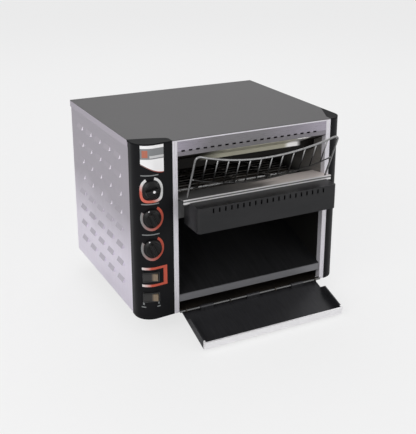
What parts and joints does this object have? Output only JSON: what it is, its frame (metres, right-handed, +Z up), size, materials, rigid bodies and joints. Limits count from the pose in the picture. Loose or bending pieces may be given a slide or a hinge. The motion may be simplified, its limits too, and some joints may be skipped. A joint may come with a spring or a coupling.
{
  "type": "conveyor toaster",
  "caption": "Countertop conveyor toaster: steel case with louvred sides, wire loading rack over a belt opening, curved discharge chute, landing tray and knobs on a rounded column.",
  "frame": {"origin": "centre of the whole object's outline, in the plane that its feet rest on", "axes": "+Z up, -Y towards the front with the openings and knobs, +X to the right as seen from the front"},
  "size_m": [0.4144, 0.4524, 0.357],
  "materials": {
    "cover_steel": "satin",
    "side_steel": "satin",
    "black_column": "satin",
    "header_steel": "satin",
    "trim_steel": "satin",
    "guard_black": "satin",
    "polished_steel": "polished",
    "rack_wire": "polished",
    "belt_wire": "satin",
    "chamber_steel": "satin",
    "chute_black": "satin",
    "tray_steel": "satin",
    "shaft_steel": "satin",
    "sprocket_steel": "matt",
    "bush_bronze": "satin",
    "heater_sheath": "matt",
    "ceramic": "matt",
    "motor_grey": "satin",
    "chain_steel": "satin",
    "knob_black": "satin",
    "control_plastic": "matt",
    "rocker_beige": "satin",
    "badge_face": "satin",
    "fan_black": "matt",
    "foot_rubber": "matt",
    "terminal_white": "matt"
  },
  "bodies": {
    "case": {"base_pan": "chamber_steel", "rear_panel": "side_steel", "top_cover": "cover_steel", "front_header": "header_steel", "feet": "foot_rubber", "tray_rod": "trim_steel", "discharge_chute": "chute_black", "conveyor_belt": "belt_wire", "belt_guides": "shaft_steel", "badge_plate": "badge_face", "loader_guard": "guard_black", "guard_brackets": "trim_steel", "loader_shelf": "polished_steel", "control_column": "black_column", "right_column": "black_column", "left_column_cap": "black_column", "right_column_cap": "black_column", "left_trim": "trim_steel", "right_trim": "trim_steel", "left_side_panel": "side_steel", "right_side_panel": "side_steel", "left_inner_wall": "chamber_steel", "right_inner_wall": "chamber_steel", "front_baffle": "chamber_steel", "upper_reflector": "chamber_steel", "lower_reflector": "chamber_steel", "rear_baffle": "chamber_steel", "upper_heaters": "heater_sheath", "lower_heaters": "heater_sheath", "heater_insulators": "ceramic", "shaft_bearings": "bush_bronze", "gear_motor": "motor_grey", "motor_bracket": "chamber_steel", "drive_chain": "chain_steel", "fan_housing": "fan_black", "supply_gland": "control_plastic", "terminal_block": "terminal_white", "speed_control": "control_plastic", "top_heat_control": "control_plastic", "bottom_heat_control": "control_plastic", "power_switch": "control_plastic", "feed_switch": "control_plastic"},
    "drive": {"drive_shaft": "shaft_steel", "drive_sprockets": "sprocket_steel", "driven_sprocket": "sprocket_steel"},
    "idler": {"idler_shaft": "shaft_steel", "idler_sprockets": "sprocket_steel"},
    "motor_output": {"motor_shaft": "shaft_steel", "motor_sprocket": "sprocket_steel"},
    "fan": {"fan_rotor": "fan_black"},
    "speed_dial": {"speed_knob": "knob_black", "speed_shaft": "shaft_steel"},
    "top_heat_dial": {"top_heat_knob": "knob_black", "top_heat_shaft": "shaft_steel"},
    "bottom_heat_dial": {"bottom_heat_knob": "knob_black", "bottom_heat_shaft": "shaft_steel"},
    "power_key": {"power_rocker": "rocker_beige"},
    "feed_key": {"feed_rocker": "rocker_beige"},
    "tray": {"landing_tray": "tray_steel"},
    "rack": {"loading_rack": "rack_wire"}
  },
  "joints": [
    {"name": "drive_spin", "type": "hinge", "parent": "case", "child": "drive", "pos_m": [0.018, 0.12746, 0.2242], "axis": [1, 0, 0], "continuous": true, "deforming": ["conveyor_belt", "drive_chain"]},
    {"name": "idler_spin", "type": "hinge", "parent": "case", "child": "idler", "pos_m": [0.018, -0.08844, 0.2242], "axis": [1, 0, 0], "continuous": true},
    {"name": "motor_spin", "type": "hinge", "parent": "case", "child": "motor_output", "pos_m": [-0.155, 0.10346, 0.115], "axis": [1, 0, 0], "continuous": true},
    {"name": "fan_spin", "type": "hinge", "parent": "case", "child": "fan", "pos_m": [-0.169, 0.19581, 0.167], "axis": [0, 1, 0], "continuous": true},
    {"name": "speed_turn", "type": "hinge", "parent": "case", "child": "speed_dial", "pos_m": [-0.181, -0.13911, 0.2786], "axis": [0.1724, 0.985, 0], "range_deg": [-100, 170]},
    {"name": "top_heat_turn", "type": "hinge", "parent": "case", "child": "top_heat_dial", "pos_m": [-0.181, -0.13911, 0.22804], "axis": [0.1724, 0.985, 0], "range_deg": [0, 270]},
    {"name": "bottom_heat_turn", "type": "hinge", "parent": "case", "child": "bottom_heat_dial", "pos_m": [-0.181, -0.13911, 0.173], "axis": [0.1724, 0.985, 0], "range_deg": [0, 270]},
    {"name": "power_rock", "type": "hinge", "parent": "case", "child": "power_key", "pos_m": [-0.18312, -0.13534, 0.11892], "axis": [0, 0, 1], "range_deg": [0, 14]},
    {"name": "feed_rock", "type": "hinge", "parent": "case", "child": "feed_key", "pos_m": [-0.18312, -0.13534, 0.08052], "axis": [0, 0, 1], "range_deg": [0, 14]},
    {"name": "tray_lift", "type": "hinge", "parent": "case", "child": "tray", "pos_m": [0.018, -0.13884, 0.039], "axis": [-1, 0, 0], "range_deg": [0, 40]},
    {"name": "rack_lift", "type": "slide", "parent": "case", "child": "rack", "axis": [0, -0.3923, 0.9198], "range_m": [0, 0.03]}
  ],
  "couplings": [
    {"joint": "idler_spin", "follows": "drive_spin", "ratio": 1},
    {"joint": "motor_spin", "follows": "drive_spin", "ratio": 1.6}
  ]
}
